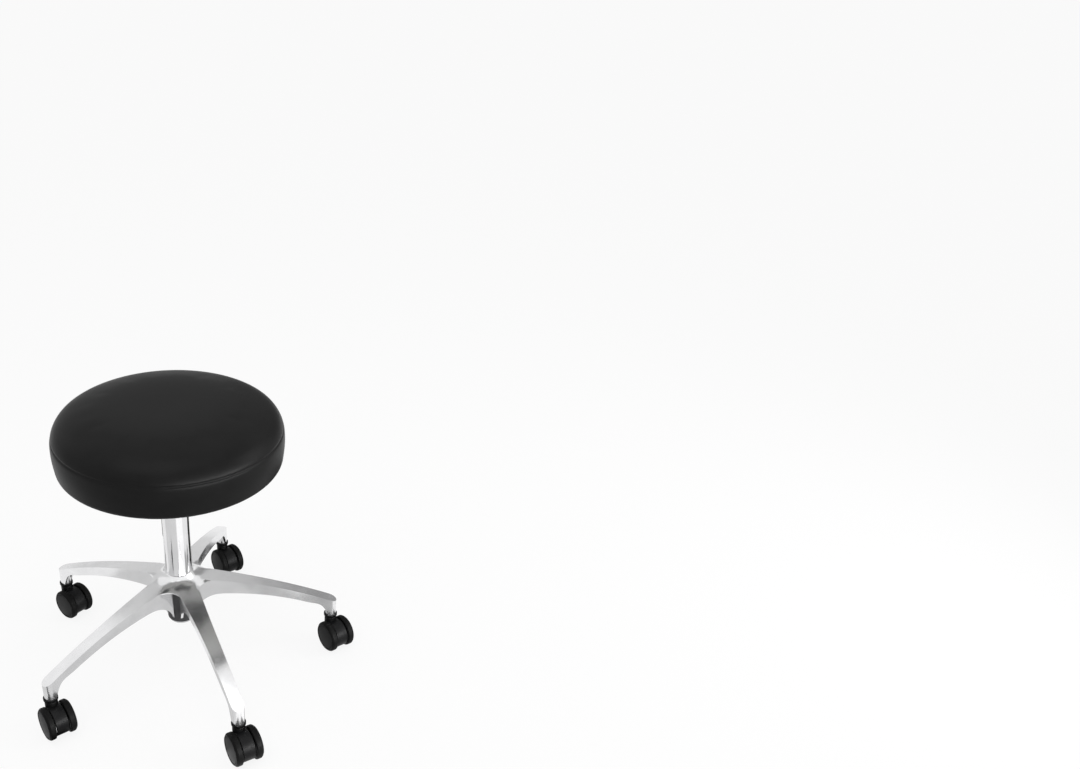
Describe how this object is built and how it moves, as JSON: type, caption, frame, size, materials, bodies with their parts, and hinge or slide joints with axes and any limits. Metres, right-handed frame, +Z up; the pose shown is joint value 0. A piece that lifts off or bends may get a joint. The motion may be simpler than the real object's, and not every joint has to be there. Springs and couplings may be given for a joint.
{
  "type": "dentist stool",
  "caption": "Round padded stool with a gas-lift column on a star base with twin-wheel castors; the seat swivels, rises and sinks, and a lever frees the lift.",
  "frame": {"origin": "on the floor, on the column's axis", "axes": "+Z up along the column; one leg points along +X; front is -Y"},
  "size_m": [0.5904, 0.6229, 0.5418],
  "materials": {
    "upholstery": "black coated upholstery cloth, satin",
    "foam": "polyurethane foam",
    "plywood": "plywood",
    "dust_cloth": "pale grey non-woven cloth",
    "black_steel": "black powder coat",
    "zinc_steel": "zinc plated steel",
    "chrome_rod": "polished chrome",
    "chrome_tube": "polished chrome",
    "black_plastic": "moulded black plastic",
    "grey_plastic": "moulded acetal",
    "black_rubber": "black rubber",
    "polished_aluminium": "polished casting",
    "castor_nylon": "moulded black nylon",
    "castor_tread": "black polyurethane"
  },
  "bodies": {
    "base": {"star_base": "polished_aluminium", "column_tube": "chrome_tube", "guide_bush": "grey_plastic", "thrust_races": "zinc_steel", "thrust_balls": "zinc_steel", "clip_washer": "zinc_steel", "castor_sleeves": "zinc_steel", "castor_collars": "black_plastic", "castor_stems": "zinc_steel"},
    "spindle": {"piston_rod": "chrome_rod", "piston": "grey_plastic", "bump_stop": "black_rubber", "retaining_clip": "zinc_steel"},
    "seat": {"seat_cover": "upholstery", "seat_foam": "foam", "seat_board": "plywood", "tee_nuts": "zinc_steel", "base_cloth": "dust_cloth", "seat_plate": "black_steel", "seat_screws": "zinc_steel", "lever_bracket": "black_steel", "taper_socket": "black_steel", "lever_pin": "zinc_steel", "gas_cylinder": "black_steel", "rod_guide": "grey_plastic", "rod_seal": "black_rubber"},
    "lever": {"lever_rod": "chrome_rod", "lever_grip": "black_plastic"},
    "button": {"valve_button": "zinc_steel"},
    "castor_1": {"hood_1": "castor_nylon", "axle_1": "zinc_steel"},
    "left_wheel_1": {"wheel_left_1": "castor_nylon", "tyre_left_1": "castor_tread"},
    "right_wheel_1": {"wheel_right_1": "castor_nylon", "tyre_right_1": "castor_tread"},
    "castor_2": {"hood_2": "castor_nylon", "axle_2": "zinc_steel"},
    "left_wheel_2": {"wheel_left_2": "castor_nylon", "tyre_left_2": "castor_tread"},
    "right_wheel_2": {"wheel_right_2": "castor_nylon", "tyre_right_2": "castor_tread"},
    "castor_3": {"hood_3": "castor_nylon", "axle_3": "zinc_steel"},
    "left_wheel_3": {"wheel_left_3": "castor_nylon", "tyre_left_3": "castor_tread"},
    "right_wheel_3": {"wheel_right_3": "castor_nylon", "tyre_right_3": "castor_tread"},
    "castor_4": {"hood_4": "castor_nylon", "axle_4": "zinc_steel"},
    "left_wheel_4": {"wheel_left_4": "castor_nylon", "tyre_left_4": "castor_tread"},
    "right_wheel_4": {"wheel_right_4": "castor_nylon", "tyre_right_4": "castor_tread"},
    "castor_5": {"hood_5": "castor_nylon", "axle_5": "zinc_steel"},
    "left_wheel_5": {"wheel_left_5": "castor_nylon", "tyre_left_5": "castor_tread"},
    "right_wheel_5": {"wheel_right_5": "castor_nylon", "tyre_right_5": "castor_tread"}
  },
  "joints": [
    {"name": "seat_swivel", "type": "hinge", "parent": "base", "child": "spindle", "pos_m": [0, 0, 0.09], "axis": [0, 0, 1], "continuous": true},
    {"name": "seat_lift", "type": "slide", "parent": "spindle", "child": "seat", "axis": [0, 0, 1], "range_m": [-0.05, 0.08]},
    {"name": "lever_tilt", "type": "hinge", "parent": "seat", "child": "lever", "pos_m": [0.01268, 0.02719, 0.4258], "axis": [0.9063, -0.4226, 0], "range_deg": [0, 5], "stiffness_Nm_per_rad": 2},
    {"name": "button_press", "type": "slide", "parent": "seat", "child": "button", "axis": [0, 0, -1], "range_m": [0, 0.0027]},
    {"name": "castor_swivel_1", "type": "hinge", "parent": "base", "child": "castor_1", "pos_m": [0.2886, 0, 0.068], "axis": [0, 0, 1], "continuous": true},
    {"name": "left_wheel_spin_1", "type": "hinge", "parent": "castor_1", "child": "left_wheel_1", "pos_m": [0.29699, -0.01816, 0.03], "axis": [0.9078, 0.4195, 0], "continuous": true},
    {"name": "right_wheel_spin_1", "type": "hinge", "parent": "castor_1", "child": "right_wheel_1", "pos_m": [0.29699, -0.01816, 0.03], "axis": [0.9078, 0.4195, 0], "continuous": true},
    {"name": "castor_swivel_2", "type": "hinge", "parent": "base", "child": "castor_2", "pos_m": [0.08918, 0.27448, 0.068], "axis": [0, 0, 1], "continuous": true},
    {"name": "left_wheel_spin_2", "type": "hinge", "parent": "castor_2", "child": "left_wheel_2", "pos_m": [0.09826, 0.25666, 0.03], "axis": [0.891, 0.454, 0], "continuous": true},
    {"name": "right_wheel_spin_2", "type": "hinge", "parent": "castor_2", "child": "right_wheel_2", "pos_m": [0.09826, 0.25666, 0.03], "axis": [0.891, 0.454, 0], "continuous": true},
    {"name": "castor_swivel_3", "type": "hinge", "parent": "base", "child": "castor_3", "pos_m": [-0.23348, 0.16964, 0.068], "axis": [0, 0, 1], "continuous": true},
    {"name": "left_wheel_spin_3", "type": "hinge", "parent": "castor_3", "child": "left_wheel_3", "pos_m": [-0.22036, 0.15454, 0.03], "axis": [0.7547, 0.6561, 0], "continuous": true},
    {"name": "right_wheel_spin_3", "type": "hinge", "parent": "castor_3", "child": "right_wheel_3", "pos_m": [-0.22036, 0.15454, 0.03], "axis": [0.7547, 0.6561, 0], "continuous": true},
    {"name": "castor_swivel_4", "type": "hinge", "parent": "base", "child": "castor_4", "pos_m": [-0.23348, -0.16964, 0.068], "axis": [0, 0, 1], "continuous": true},
    {"name": "left_wheel_spin_4", "type": "hinge", "parent": "castor_4", "child": "left_wheel_4", "pos_m": [-0.22418, -0.18734, 0.03], "axis": [0.8854, 0.4648, 0], "continuous": true},
    {"name": "right_wheel_spin_4", "type": "hinge", "parent": "castor_4", "child": "right_wheel_4", "pos_m": [-0.22418, -0.18734, 0.03], "axis": [0.8854, 0.4648, 0], "continuous": true},
    {"name": "castor_swivel_5", "type": "hinge", "parent": "base", "child": "castor_5", "pos_m": [0.08918, -0.27448, 0.068], "axis": [0, 0, 1], "continuous": true},
    {"name": "left_wheel_spin_5", "type": "hinge", "parent": "castor_5", "child": "left_wheel_5", "pos_m": [0.09619, -0.29321, 0.03], "axis": [0.9367, 0.3502, 0], "continuous": true},
    {"name": "right_wheel_spin_5", "type": "hinge", "parent": "castor_5", "child": "right_wheel_5", "pos_m": [0.09619, -0.29321, 0.03], "axis": [0.9367, 0.3502, 0], "continuous": true}
  ],
  "couplings": [
    {"joint": "button_press", "follows": "lever_tilt", "m_per_rad": 0.03}
  ]
}
